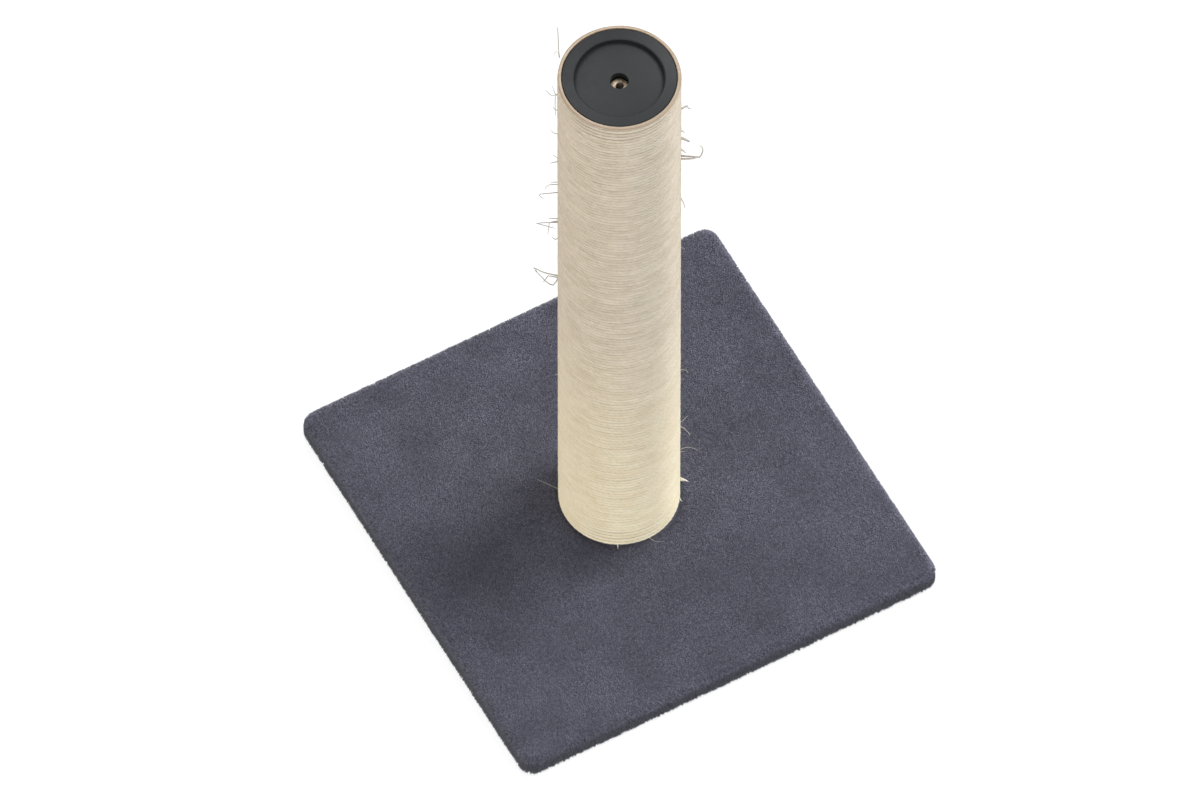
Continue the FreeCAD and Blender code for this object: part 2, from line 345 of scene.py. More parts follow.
def srgb(red, green, blue):
    """A colour given as it shows on a screen, 0 to 255."""
    linear = [
        c / 12.92 if c <= 0.04045 else ((c + 0.055) / 1.055) ** 2.4
        for c in (red / 255, green / 255, blue / 255)
    ]
    return (*linear, 1.0)


FLOAT = "NodeSocketFloat"


def make_mottle_group():
    """Soft blotches at one size, with finer ones inside them."""
    bench, given, result = new_group(
        "mottle",
        [("Size", FLOAT, 0.01), ("Detail", FLOAT, 3.0), ("Strength", FLOAT, 1.0)],
        [("Value", FLOAT)],
    )
    scale = bench.sum("DIVIDE", 1.0, given.outputs["Size"])
    value = bench.noise(bench.place(), scale, given.outputs["Detail"], 0.6)
    centred = bench.sum("SUBTRACT", value, 0.5)
    bench.join(result.inputs["Value"], bench.sum("MULTIPLY", centred, given.outputs["Strength"]))
    return bench.tree


def make_fibre_group():
    """Streaks along a strand's fibres, read from the layout named rope_lay."""
    bench, given, result = new_group(
        "fibre_streaks",
        [("Fineness", FLOAT, 1.0)],
        [("Broad", FLOAT), ("Fine", FLOAT)],
    )
    lay = bench.put("ShaderNodeUVMap", uv_map="rope_lay").outputs["UV"]
    for label, stretch in (("Broad", (60.0, 900.0, 1.0)), ("Fine", (130.0, 4200.0, 1.0))):
        fineness = given.outputs["Fineness"]
        value = bench.noise(bench.stretched(lay, stretch), fineness, 2.0, 0.6, 0.3)
        bench.join(result.inputs[label], value)
    return bench.tree


def make_zones_group():
    """Where a point lies on the post: crown or cleft of a turn, height, and the top rim."""
    bench, _, result = new_group(
        "post_zones", [], [("Crown", FLOAT), ("Height", FLOAT), ("Rim", FLOAT)]
    )
    level = bench.stretched(bench.place(), (1, 1, 0))
    radius = bench.put("ShaderNodeVectorMath", {0: level}, operation="LENGTH").outputs["Value"]
    z = bench.height()
    # Crown is 0 deep in the groove between two turns and 1 on a turn's crown and on top of the last
    # turn; it carries the rope's painted shade
    crown = bench.spread(radius, 0.0573, 0.0589)
    crown = bench.sum("MAXIMUM", crown, bench.spread(z, 0.7722, 0.7734))
    height = bench.spread(z, 0.02, 0.40)
    # Rim: painted shade beside the plug on the top turn's inner side, and a brown tint across the
    # top turn, stronger outwards
    outside = bench.spread(radius, 0.0562, 0.0588, 0.28, 0.66)
    inside = bench.spread(radius, 0.0563, 0.0558)
    top = bench.spread(z, 0.7714, 0.7726)
    rim = bench.sum("MULTIPLY", bench.sum("MAXIMUM", outside, inside), top)
    for label, value in (("Crown", crown), ("Height", height), ("Rim", rim)):
        bench.join(result.inputs[label], value)
    return bench.tree


def make_scratch_group():
    """Fine crossing scratches for drawn and stamped metal."""
    bench, given, result = new_group(
        "fine_scratches", [("Density", FLOAT, 1.0)], [("Value", FLOAT)]
    )
    place = bench.place()
    values = []
    for stretch in ((2600.0, 160.0, 160.0), (190.0, 2400.0, 300.0)):
        density = given.outputs["Density"]
        values.append(bench.noise(bench.stretched(place, stretch), density, 2.0, 0.55))
    bench.join(result.inputs["Value"], bench.sum("MULTIPLY", *values))
    return bench.tree


MOTTLE = make_mottle_group()
FIBRE = make_fibre_group()
ZONES = make_zones_group()
SCRATCHES = make_scratch_group()


def new_material(name):
    material = bpy.data.materials.new(name)
    material.use_nodes = True
    material.node_tree.nodes.clear()
    bench = Bench(material.node_tree)
    surface = bench.put("ShaderNodeBsdfPrincipled")
    bench.put("ShaderNodeOutputMaterial", {"Surface": surface.outputs[0]})
    return material, bench, surface


def use_group(bench, tree, **values):
    return bench.put("ShaderNodeGroup", values, node_tree=tree)


def mottle(bench, size, strength, detail=3.0):
    return use_group(bench, MOTTLE, Size=size, Strength=strength, Detail=detail).outputs[0]


def cloudy(bench, size, strength, dark, light):
    """A colour that drifts between two others in soft blotches."""
    return bench.blend(bench.total(mottle(bench, size, strength), 0.5), dark, light)


def bump(bench, surface, height, distance, strength=1.0):
    wires = {"Height": height, "Distance": distance, "Strength": strength}
    bench.join(surface.inputs["Normal"], bench.put("ShaderNodeBump", wires).outputs["Normal"])


def dress(bench, surface, **finish):
    """Gives the shader its colour and finish, each as a plain value or another node's output."""
    for label, source in finish.items():
        bench.join(surface.inputs[label.replace("_", " ")], source)


def read_value(bench, name):
    return bench.put("ShaderNodeAttribute", attribute_name=name).outputs["Fac"]


def sisal_material():
    """Natural sisal: pale straw with painted shade in its clefts, greyer towards the top of the
    post.
    """
    material, bench, surface = new_material("sisal_rope")
    streaks = use_group(bench, FIBRE, Fineness=1.0)
    zones = use_group(bench, ZONES)
    pale = bench.blend(zones.outputs["Height"], srgb(255, 244, 213), srgb(235, 221, 200))
    deep = bench.blend(zones.outputs["Height"], srgb(246, 228, 189), srgb(212, 196, 171))
    broad, fine = streaks.outputs["Broad"], streaks.outputs["Fine"]
    tone = [bench.sum("MULTIPLY", broad, 0.9), 0.05]
    tone += [mottle(bench, 0.03, 0.35), mottle(bench, 0.0045, 0.9, 1.0)]
    tone += [bench.sum("MULTIPLY", read_value(bench, "tone"), 0.35)]
    colour = bench.blend(bench.total(*tone), deep, pale)
    # painted shade: the colour darkens in the grooves between turns and in the clefts between
    # strands, though not on top of the last turn
    crown = bench.spread(zones.outputs["Crown"], 0.0, 0.78, 0.42, 1.0)
    cleft = bench.spread(read_value(bench, "cleft"), 0.4, 1.0, 1.0, 0.92)
    colour = bench.shaded(colour, bench.sum("MULTIPLY", crown, cleft))
    # the top rim turns brown: painted shade in the gap beside the plug, and a brown tint across the
    # top turn, strongest at its outer edge
    edge = bench.sum("MULTIPLY", zones.outputs["Rim"], 0.85)
    colour = bench.blend(edge, colour, srgb(136, 98, 66))
    rough = bench.spread(fine, 0.3, 0.7, 0.62, 0.88)
    dress(bench, surface, Base_Color=colour, Roughness=rough, Specular_IOR_Level=0.25)
    dress(bench, surface, Sheen_Weight=0.18, Sheen_Roughness=0.45)
    bump(bench, surface, bench.sum("ADD", fine, broad), 0.0003, 0.7)
    return material


def stray_fibre_material():
    """Single sisal fibres: pale low on the post, greyer near its top."""
    material, bench, surface = new_material("sisal_fibre")
    high = bench.spread(bench.height(), 0.18, 0.40)
    root = bench.blend(high, srgb(250, 240, 214), srgb(214, 207, 192))
    tip = bench.blend(high, srgb(255, 252, 240), srgb(186, 182, 174))
    share = bench.total(read_value(bench, "tip"), mottle(bench, 0.006, 0.8))
    colour = bench.blend(share, root, tip)
    dress(bench, surface, Base_Color=colour, Roughness=0.6, Specular_IOR_Level=0.1)
    return material


def plush_colour(bench):
    """Slate plush in soft patches, with painted shade that makes it darker at the sides."""
    patch = bench.total(mottle(bench, 0.045, 0.2, 2.0), mottle(bench, 0.0034, 2.2, 1.0), 0.5)
    colour = bench.blend(patch, srgb(117, 117, 130), srgb(147, 147, 163))
    # painted shade: the rounded edge and the sides turn a darker grey, fully so from 15 mm down
    return bench.blend(bench.spread(bench.height(), 0.0248, 0.015), colour, srgb(92, 92, 98))


def pile_material():
    """Plush pile: painted shade darkens it towards the roots, lighter at the cut tips, with single
    lighter hairs.
    """
    material, bench, surface = new_material("plush_pile")
    # painted shade: each tuft darkens from its tip down to its root
    tip = bench.spread(read_value(bench, "tip"), 0.0, 0.9, 0.86, 1.24)
    # shade holds each tuft's random tone, and painted shade next to the post
    shade = bench.spread(read_value(bench, "shade"), 0.0, 1.0, 0.82, 1.18)
    colour = bench.shaded(plush_colour(bench), bench.sum("MULTIPLY", tip, shade))
    dress(bench, surface, Base_Color=colour, Roughness=0.9, Specular_IOR_Level=0.04)
    dress(bench, surface, Sheen_Weight=0.04, Sheen_Roughness=0.5)
    return material


def ground_material():
    """The woven ground of the plush, seen only between the tufts and on the folded hem."""
    material, bench, surface = new_material("plush_ground")
    # painted shade: the ground is the plush colour darkened, as the shade between the tufts
    colour = bench.blend(1.0, plush_colour(bench), srgb(205, 205, 205), "MULTIPLY")
    dress(bench, surface, Base_Color=colour, Roughness=0.95, Specular_IOR_Level=0.1)
    bump(bench, surface, mottle(bench, 0.0016, 1.0), 0.0006, 0.8)
    return material


def plug_material():
    """Moulded dark plastic, slightly warped, with a fine spark-eroded grain and light scuffs."""
    material, bench, surface = new_material("plug_plastic")
    colour = cloudy(bench, 0.045, 1.6, srgb(26, 29, 31), srgb(38, 41, 43))
    scuff = use_group(bench, SCRATCHES, Density=0.35).outputs[0]
    scuff = bench.sum("MULTIPLY", bench.spread(scuff, 0.40, 0.52), 0.35)
    colour = bench.blend(scuff, colour, srgb(80, 83, 86))
    rough = bench.spread(mottle(bench, 0.006, 1.0), -0.3, 0.3, 0.36, 0.50)
    dress(bench, surface, Base_Color=colour, Roughness=rough, Specular_IOR_Level=0.27)
    warp = bench.sum("MULTIPLY", mottle(bench, 0.0005, 1.0, 1.0), 0.00005)
    # the face rises along one direction and sinks along the other, like a saddle
    for direction, rise in (((0.485, 0.874, 0), 1.5), ((0.874, -0.485, 0), -1.8)):
        along = bench.along(bench.place(), direction)
        square = bench.sum("MULTIPLY", along, along)
        warp = bench.sum("ADD", bench.sum("MULTIPLY", square, rise), warp)
    bump(bench, surface, warp, 1.0)
    return material


def metal_material(name, dark, light, rough_low, rough_high, grain):
    """Plated metal with fine scratches and cloudy plating."""
    material, bench, surface = new_material(name)
    scratch = use_group(bench, SCRATCHES, Density=1.0).outputs[0]
    rough = bench.spread(scratch, 0.1, 0.45, rough_low, rough_high)
    colour = cloudy(bench, grain, 1.3, dark, light)
    dress(bench, surface, Base_Color=colour, Roughness=rough, Metallic=1.0)
    bump(bench, surface, scratch, 0.00004, 0.6)
    return material


def board_material():
    """Raw fibreboard: pressed brown fibre with pale and dark specks."""
    material, bench, surface = new_material("fibreboard")
    colour = cloudy(bench, 0.05, 0.7, srgb(176, 143, 104), srgb(196, 165, 126))
    place = bench.stretched(bench.place(), (900.0, 260.0, 700.0))
    fleck = bench.noise(place, 1.0, 3.0, 0.7, 0.8)
    colour = bench.blend(bench.spread(fleck, 0.58, 0.70), colour, srgb(128, 96, 64))
    colour = bench.blend(bench.spread(fleck, 0.40, 0.30), colour, srgb(222, 198, 160))
    rough = bench.spread(fleck, 0.3, 0.7, 0.66, 0.84)
    dress(bench, surface, Base_Color=colour, Roughness=rough)
    bump(bench, surface, fleck, 0.00015, 0.6)
    return material


def tube_material():
    """Spiral-wound kraft paper tube."""
    material, bench, surface = new_material("kraft_tube")
    fibre = bench.noise(bench.stretched(bench.place(), (300.0, 300.0, 1100.0)), 1.0, 3.0, 0.65)
    tone = bench.total(fibre, mottle(bench, 0.04, 0.5))
    colour = bench.blend(tone, srgb(150, 116, 78), srgb(190, 154, 112))
    rough = bench.spread(fibre, 0.3, 0.7, 0.72, 0.88)
    dress(bench, surface, Base_Color=colour, Roughness=rough)
    bump(bench, surface, fibre, 0.0001, 0.5)
    return material


SISAL = sisal_material()
SISAL_FIBRE = stray_fibre_material()
PILE = pile_material()
GROUND = ground_material()
PLUG = plug_material()
ZINC = metal_material("zinc_plate", srgb(150, 152, 156), srgb(196, 198, 202), 0.26, 0.46, 0.006)
WIRE = metal_material("staple_wire", srgb(158, 158, 160), srgb(190, 190, 192), 0.24, 0.40, 0.004)
BRASS = metal_material("insert_brass", srgb(110, 97, 82), srgb(154, 142, 125), 0.36, 0.58, 0.004)
BOARD = board_material()
KRAFT = tube_material()

NODE_MATERIALS = {
    "base_board": BOARD,
    "hem_staples": WIRE,
    "plug_staples": WIRE,
    "base_washer": ZINC,
    "base_bolt": ZINC,
    "bottom_plug": PLUG,
    "top_plug": PLUG,
    "post_tube": KRAFT,
    "threaded_inserts": BRASS,
}
for node_name, finish_material in NODE_MATERIALS.items():
    node_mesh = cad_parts[node_name].data
    node_mesh.materials.clear()
    node_mesh.materials.append(finish_material)


# ---------------------------------------------------------------- rope


def pitches_fallen(turns):
    """How many pitches the rope has moved along the post, this many turns from its end.

    The end turn lies level and moves over in its last quarter, and by the fifth turn the
    winding is an even helix.
    """
    quarter = np.floor(turns * 4).astype(int)
    part = turns * 4 - quarter
    turn, step = quarter // 4, quarter % 4

    def gentle(number):
        return 0.25 * np.minimum(1.0, number / ROPE_FADE_TURNS)

    here, after = gentle(turn), gentle((quarter + 1) // 4)
    fall = np.where(step < 3, here, 1 - 3 * here)
    start = turn + here * step
    square, cube = part**2, part**3
    rise = start + fall * (3 * square - 2 * cube)
    return rise + here * (part - 2 * square + cube) + after * (cube - square)


def rope_line(turns):
    """Angle round the post and height of the rope's centre, in turns from its top end."""
    angle = ROPE_END_ANGLE - FULL_TURN * turns
    half = ROPE_TURNS / 2
    from_top = ROPE_TOP_Z - ROPE_PITCH * pitches_fallen(np.minimum(turns, half))
    from_foot = ROPE_FOOT_Z + ROPE_PITCH * pitches_fallen(
        np.minimum(ROPE_TURNS - turns, half)
    )
    return angle, np.where(turns <= half, from_top, from_foot)


def make_rope():
    """The whole rope as one closed sweep of a three-strand section."""
    turn_length = FULL_TURN * ROPE_CENTRE_RADIUS
    per_turn = round(turn_length / ROPE_RING_STEP)
    tail = round(ROPE_TAIL_TURNS * per_turn)
    rings = ROPE_TURNS * per_turn + 1 + 2 * tail
    turns = (np.arange(rings) - tail) / per_turn
    length = (turns + ROPE_TAIL_TURNS) * turn_length
    angle, height = rope_line(np.clip(turns, 0, ROPE_TURNS))
    angle = ROPE_END_ANGLE - FULL_TURN * turns
    # each end is shaved to a wedge that fills the space beside the first turn's ramp
    beyond = np.maximum(-turns, turns - ROPE_TURNS)
    full = np.where(beyond > 0, pitches_fallen(1 - np.clip(beyond, 0, 0.25)), 1.0)
    full = np.clip(full, 0.05, 1.0)
    height = height + np.sign(ROPE_TURNS / 2 - turns) * ROPE_HALF_GAP * (1 - full)
    swell = 1 + wander(length, *ROPE_SWELLS[0]) + wander(length, *ROPE_SWELLS[1])
    radius = ROPE_CENTRE_RADIUS + wander(length, *ROPE_SWAY_OUT)
    ends = np.clip(np.minimum(turns, ROPE_TURNS - turns), 0, 1)
    height = height + wander(length, *ROPE_SWAY_UP) * ends
    phase = FULL_TURN * length / ROPE_LAY + wander(length, *ROPE_LAY_DRIFT)
    section = np.radians(np.array(ROPE_SECTION_ANGLES, float))
    lobe = np.abs(np.cos(ROPE_STRANDS / 2 * (section[None] - phase[:, None])))
    # the strands of the lowest turn stand out more, because no turn presses on it from below
    lowest = np.clip((turns - ROPE_TURNS + ROPE_FOOT_CLEFT_TURNS) * 8, 0, 1)[:, None]
    cleft = ROPE_CLEFT + (ROPE_FOOT_CLEFT - ROPE_CLEFT) * lowest
    reach = ROPE_HALF_HEIGHT * swell[:, None] * (1 - cleft * (1 - lobe) ** 0.9)
    out = radius[:, None] + reach * np.cos(section) * ROPE_SQUASH * full[:, None] ** 0.12
    rise = np.clip(reach * np.sin(section), -ROPE_HALF_GAP, ROPE_HALF_GAP) * full[:, None]
    rise = height[:, None] + rise
    points = [out * np.cos(angle)[:, None], out * np.sin(angle)[:, None], rise]
    points = np.stack(points, -1)
    sides = len(section)
    all_points = np.concatenate([points.reshape(-1, 3), points[[0, -1]].mean(1)])
    faces = [band_faces(rings, sides), end_faces(rings, sides)]
    rope = mesh_piece("rope_winding", all_points, faces, SISAL)
    tone = wander(length, *ROPE_TONES[0]) + wander(length, *ROPE_TONES[1])
    give_values(rope, "tone", np.concatenate([np.repeat(tone, sides), [0, 0]]))
    give_values(rope, "cleft", np.concatenate([(1 - lobe).ravel(), [0.5, 0.5]]))
    give_rope_maps(rope, section, rings, turn_length / per_turn)
    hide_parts("sisal_rope")


def give_rope_maps(rope, section, rings, ring_step):
    """Lays the rope out twice: along its strands for the streaks, and in rows for the bake."""
    sides = len(section)
    ends = 2 * sides
    side = np.arange(sides)[None, :, None]
    step = np.arange(rings - 1)[:, None, None]
    along, across = np.array([0, 1, 1, 0]), np.array([0, 0, 1, 1])
    lay = np.empty((rings - 1, sides, 4, 2))
    lay[..., 0] = (step + along) * (ring_step * MM)
    around = np.append(section, section[0] + FULL_TURN) * ROPE_HALF_HEIGHT * MM
    lay[..., 1] = around[side + across]
    blank = np.full((ends * 3, 2), 0.001)
    give_map(rope, "rope_lay", np.concatenate([lay.reshape(-1, 2), blank]))
    per_row = math.ceil((rings - 1) / ROPE_BAKE_ROWS)
    strip = (side + across) / sides * 0.94 + 0.03
    bake = np.empty((rings - 1, sides, 4, 2))
    bake[..., 0] = (step % per_row + along) / per_row
    bake[..., 1] = (step // per_row + strip) / (ROPE_BAKE_ROWS + 1)
    ends_at = np.tile([(0.2, 0.993), (0.201, 0.999), (0.202, 0.993)], (ends, 1))
    give_map(rope, "OFBake", np.concatenate([bake.reshape(-1, 2), ends_at]))
    rope.data.uv_layers["rope_lay"].active_render = True


make_rope()

# ---------------------------------------------------------------- threaded parts

THREAD_PITCH = 1.25
THREAD_SIDES = 48
THREAD_ROWS = 6  # to each pitch

TOP_MOUTH_Z = 759.0
FOOT_MOUTH_Z = 37.6
INSERT_LENGTH = 14.0
INSERT_FLATS = 11.6
INSERT_SIDES = 12
INSERT_EDGE = 0.4
INSERT_MOUTH_RADIUS = 4.35
INSERT_THREAD = (3.46, 4.0)  # smallest and largest radius
# The insert's flange from its underside to its face: radius, and depth below the mouth
INSERT_FLANGE = ((7.9, 1.6), (8.3, 1.3), (8.3, 0.35), (8.0, 0.0))

BOLT_HEAD_FLATS = 13.0
# The bolt's head from below: the most that the hexagon reaches, and the height
BOLT_HEAD = ((6.1, 3.9), (6.6, 4.15), (7.6, 4.6), (7.6, 8.95), (6.4, 9.2))
BOLT_NECK = ((4.0, 9.2), (3.95, 9.3))
BOLT_THREAD_LOW_Z = 9.6
BOLT_THREAD_HIGH_Z = 48.4
BOLT_THREAD = (3.40, 3.94)
BOLT_TIP = (3.2, 49.2)


def turned(rows, open_ends):
    """Sweeps rows of (radius, height) round the post's axis into one closed piece.

    With open_ends the last row joins the first, as round a bore; otherwise the first and
    last rows are closed by discs.
    """
    angle = np.arange(THREAD_SIDES) * FULL_TURN / THREAD_SIDES
    points = np.empty((len(rows), THREAD_SIDES, 3))
    for index, (radius, height) in enumerate(rows):
        radius = np.broadcast_to(radius, THREAD_SIDES)
        level = np.full(THREAD_SIDES, height)
        points[index] = np.stack([radius * np.cos(angle), radius * np.sin(angle), level], -1)
    flat = points.reshape(-1, 3)
    faces = [band_faces(len(rows), THREAD_SIDES, open_ends)[:, [0, 3, 2, 1]]]
    if not open_ends:
        flat = np.concatenate([flat, np.stack([points[0].mean(0), points[-1].mean(0)])])
        faces.append(end_faces(len(rows), THREAD_SIDES)[:, [0, 2, 1]])
    return flat, faces


def thread_rows(low, high, deep, crest):
    """Rows of a right-hand thread between two heights."""
    angle = np.arange(THREAD_SIDES) / THREAD_SIDES
    count = max(2, round((high - low) / THREAD_PITCH * THREAD_ROWS))
    rows = []
    for z in np.linspace(low, high, count):
        phase = (z / THREAD_PITCH - angle) % 1
        share = np.clip(np.abs(phase - 0.5) * 2.6 - 0.15, 0, 1)
        rows.append((deep + (crest - deep) * share, z))
    return rows


def polygon_radius(flats, count):
    """Distance to the sides of a regular polygon, given the width across its flats."""
    angle = np.arange(THREAD_SIDES) * FULL_TURN / THREAD_SIDES
    step = FULL_TURN / count
    return flats / 2 / np.cos((angle + step / 2) % step - step / 2)


def insert_rows(mouth, inward):
    """An insert whose threaded bore starts at the mouth and runs inward, up or down."""
    end = mouth + inward * INSERT_LENGTH
    body = polygon_radius(INSERT_FLATS, INSERT_SIDES)
    bore = thread_rows(min(mouth, end) + 0.5, max(mouth, end) - 0.5, *INSERT_THREAD)
    rows = [(INSERT_MOUTH_RADIUS, mouth)]
    rows += bore if inward > 0 else bore[::-1]
    rows += [(INSERT_MOUTH_RADIUS, end), (body - INSERT_EDGE, end)]
    rows += [(body, end - inward * INSERT_EDGE), (body, mouth + inward * INSERT_FLANGE[0][1])]
    return rows + [(radius, mouth + inward * depth) for radius, depth in INSERT_FLANGE]


def add_turned(parts, name, material, node):
    """Makes one piece of turned parts, in place of this CAD node."""
    points = np.concatenate([part[0] for part in parts])
    faces, start = [], 0
    for part_points, part_faces in parts:
        faces += [group + start for group in part_faces]
        start += len(part_points)
    quads = np.concatenate([group for group in faces if group.shape[1] == 4])
    triangles = [group for group in faces if group.shape[1] == 3]
    piece = mesh_piece(name, points, [quads] + triangles, material)
    piece.data.set_sharp_from_angle(angle=math.radians(35))
    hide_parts(node)


def flipped(part):
    points, faces = part
    return points, [group[:, ::-1] for group in faces]


inserts = [
    turned(insert_rows(TOP_MOUTH_Z, -1), True),
    flipped(turned(insert_rows(FOOT_MOUTH_Z, 1), True)),
]
add_turned(inserts, "threaded_inserts_cut", BRASS, "threaded_inserts")

hexagon = polygon_radius(BOLT_HEAD_FLATS, 6)
bolt = [(np.minimum(hexagon, most), z) for most, z in BOLT_HEAD] + [*BOLT_NECK]
bolt += thread_rows(BOLT_THREAD_LOW_Z, BOLT_THREAD_HIGH_Z, *BOLT_THREAD) + [BOLT_TIP]
add_turned([turned(bolt, False)], "base_bolt_cut", ZINC, "base_bolt")

# ---------------------------------------------------------------- plush cover


def outline_radius(angle, half, corner):
    """Distance from the middle to a rounded square's edge, in each direction."""
    folded = np.abs((angle + math.pi / 4) % (math.pi / 2) - math.pi / 4)
    straight = half / np.cos(folded)
    centre = half - corner
    towards = np.cos(folded - math.pi / 4) * centre * math.sqrt(2)
    across = np.sin(folded - math.pi / 4) * centre * math.sqrt(2)
    round_off = towards + np.sqrt(np.maximum(corner**2 - across**2, 0))
    on_corner = half * np.tan(folded) > centre
    return np.where(on_corner, round_off, straight)


def outline_angles(spacing):
    """Directions that meet the cover's outline at even steps, closer at the mitres."""
    angle = np.linspace(0, FULL_TURN, 20001)
    reach = outline_radius(angle, PLUSH_HALF, PLUSH_CORNER)
    x, y = reach * np.cos(angle), reach * np.sin(angle)
    run = np.concatenate([[0], np.cumsum(np.hypot(np.diff(x), np.diff(y)))])
    count = int(run[-1] / spacing / 8) * 8
    even = np.interp(np.arange(count) / count * run[-1], run, angle)
    mitres = [
        math.pi / 4 + corner * math.pi / 2 + side * width / 300
        for corner in range(4)
        for side in (-1, 1)
        for width in (0.25, 0.8, 1.5)
    ]
    mitres += [math.pi / 4 + corner * math.pi / 2 for corner in range(4)]
    near = np.array(mitres)
    gap = np.abs(even[:, None] - near[None]).min(1)
    return np.sort(np.concatenate([even[gap > 0.002], near]))


def cover_rows():
    """The cover's rows, each a rounded square: half width, corner radius, height and kind.

    They run from the bolt hole out over the top, down the side, in under the hem, and back
    between the board and the cloth to the bolt hole.
    """
    side, corner = GROUND_HALF, GROUND_CORNER
    rows = []

    def add(half, round_radius, z, kind):
        rows.append((half, round_radius, z, kind))

    def add_circle(radius, z, kind):
        add(radius, radius, z, kind)

    for radius in np.linspace(BOLT_HOLE_RADIUS, SEAT_RADIUS - 3.0, 12):
        add_circle(radius, SEAT_Z, "seat")
    add_circle(SEAT_RADIUS - 2.0, SEAT_Z - 0.1, "seat")
    add_circle(SEAT_RADIUS - 1.0, GROOVE_Z, "seat")
    add_circle(SEAT_RADIUS + 0.4, GROOVE_Z, "seat")
    flat_corner = PLUSH_CORNER - GROUND_ROUND
    for share in np.arange(1, 63) / 62:
        half = SEAT_RADIUS + (side - GROUND_ROUND - SEAT_RADIUS) * share
        bend = SEAT_RADIUS + (flat_corner - SEAT_RADIUS) * share**0.5
        add(half, max(bend, flat_corner), GROUND_TOP_Z, "top")
    for step in range(1, 8):
        turn = step / 7 * math.pi / 2
        inset = GROUND_ROUND * (1 - math.sin(turn))
        drop = GROUND_ROUND * (1 - math.cos(turn))
        add(side - inset, corner - inset, GROUND_TOP_Z - drop, "edge")
    for z in np.linspace(GROUND_TOP_Z - GROUND_ROUND - 1.5, 3.4, 7):
        add(side, corner, z, "side")
    add(side - 0.5, corner - 0.5, 1.6, "side")
    add(side - 1.8, corner - 1.8, 0.55, "hem")
    for step in range(1, 16):
        share = step / 15
        half = side - 1.8 + (HEM_INNER_HALF - side + 1.8) * share
        add(half, 11.8 + 0.2 * share, HEM_Z, "hem")
    add(HEM_INNER_HALF - 0.2, HEM_INNER_CORNER, 1.2, "lip")
    add(HEM_INNER_HALF - 0.2, HEM_INNER_CORNER, 2.6, "lip")
    add(HEM_INNER_HALF + 0.3, HEM_INNER_CORNER, BOARD_BOTTOM_Z, "under")
    add(BOARD_HALF - 8, BOARD_CORNER, BOARD_BOTTOM_Z, "under")
    add(BOARD_HALF, BOARD_CORNER, BOARD_BOTTOM_Z, "under")
    add(BOARD_HALF, BOARD_CORNER, BOARD_TOP_Z - BOARD_EDGE, "under")
    inner_half, inner_corner = BOARD_HALF - BOARD_EDGE, BOARD_CORNER - BOARD_EDGE
    add(inner_half, inner_corner, BOARD_TOP_Z, "under")
    for share in (0.25, 0.5, 0.75):
        half = inner_half + (SEAT_RADIUS - inner_half) * share
        bend = inner_corner + (SEAT_RADIUS - inner_corner) * share**2
        add(half, bend, BOARD_TOP_Z, "under")
    for radius in (SEAT_RADIUS, 30.0, BOLT_HOLE_RADIUS):
        add_circle(radius, BOARD_TOP_Z, "under")
    return rows


def pressed_hem(height, x, y, from_mitre):
    """The hem's underside, slightly uneven and drawn up at the mitres and the staples."""
    height = height + 0.22 * (lumps(x, y, 5.0, 24) + 1)
    height += 2.3 * np.clip(1.2 - from_mitre / 0.9, 0, 1)
    for at in HEM_STAPLES:
        for first, second in ((x, y), (y, x)):
            beside = np.maximum(np.abs(first - at) - HEM_STAPLE_HALF, 0)
            away = np.abs(np.abs(second) - HEM_STAPLE_ROW)
            height += 1.1 * np.exp(-(beside**2 + away**2) / 9.0)
    return np.minimum(height, 2.9)


def cover_points(rows, angle):
    """The points of these rows in these directions, with the cloth's unevenness and folds."""
    points = np.empty((len(rows), len(angle), 3))
    mitre = np.abs((angle % (math.pi / 2)) - math.pi / 4)
    # cloth drawn round a corner stands in shallow upright folds
    fold = np.cos(np.clip(mitre / 0.030, 0, math.pi) * 2.5) * np.exp(-((mitre / 0.045) ** 2))
    for row, (half, corner, z, kind) in enumerate(rows):
        reach = outline_radius(angle, half, corner)
        x, y = reach * np.cos(angle), reach * np.sin(angle)
        height = np.full(len(angle), float(z))
        if kind == "top":
            uneven = 0.28 * lumps(x, y, 7.0, 21) + 0.16 * lumps(x, y, 3.1, 22)
            height += uneven * np.clip((half - SEAT_RADIUS) / 6, 0, 1)
        elif kind in ("edge", "side"):
            along = np.where(np.abs(x) > np.abs(y), y, x)
            uneven = 0.3 * lumps(along, height * 2, 6.0, 23)
            drop = np.clip((GROUND_TOP_Z - z) / 14, 0, 1)
            reach = reach + uneven - 0.9 * fold * drop
            x, y = reach * np.cos(angle), reach * np.sin(angle)
        elif kind == "hem":
            height = pressed_hem(height, x, y, mitre * reach)
        points[row] = np.stack([x, y, height], -1)
    return points


def make_cover():
    """The plush cover's woven ground: over the board, round its edges and hemmed below."""
    angle = outline_angles(2.6)
    points = cover_points(cover_rows(), angle)
    count, sides = points.shape[:2]
    quads = band_faces(count, sides, joined=True)
    cover = mesh_piece("plush_sheet", points.reshape(-1, 3), [quads], GROUND)
    width = np.linalg.norm(points[:, 0] - np.roll(points[:, 0], -1, 0), axis=-1)
    run = np.concatenate([[0], np.cumsum(width)]) / width.sum()
    bake = np.empty((count, sides, 4, 2))
    bake[..., 0] = (np.arange(sides)[None, :, None] + np.array([0, 0, 1, 1])) / sides
    bake[..., 1] = np.stack([run[:-1], run[1:], run[1:], run[:-1]], -1)[:, None]
    give_map(cover, "OFBake", bake.reshape(-1, 2))
    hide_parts("plush_cover")
    return cover


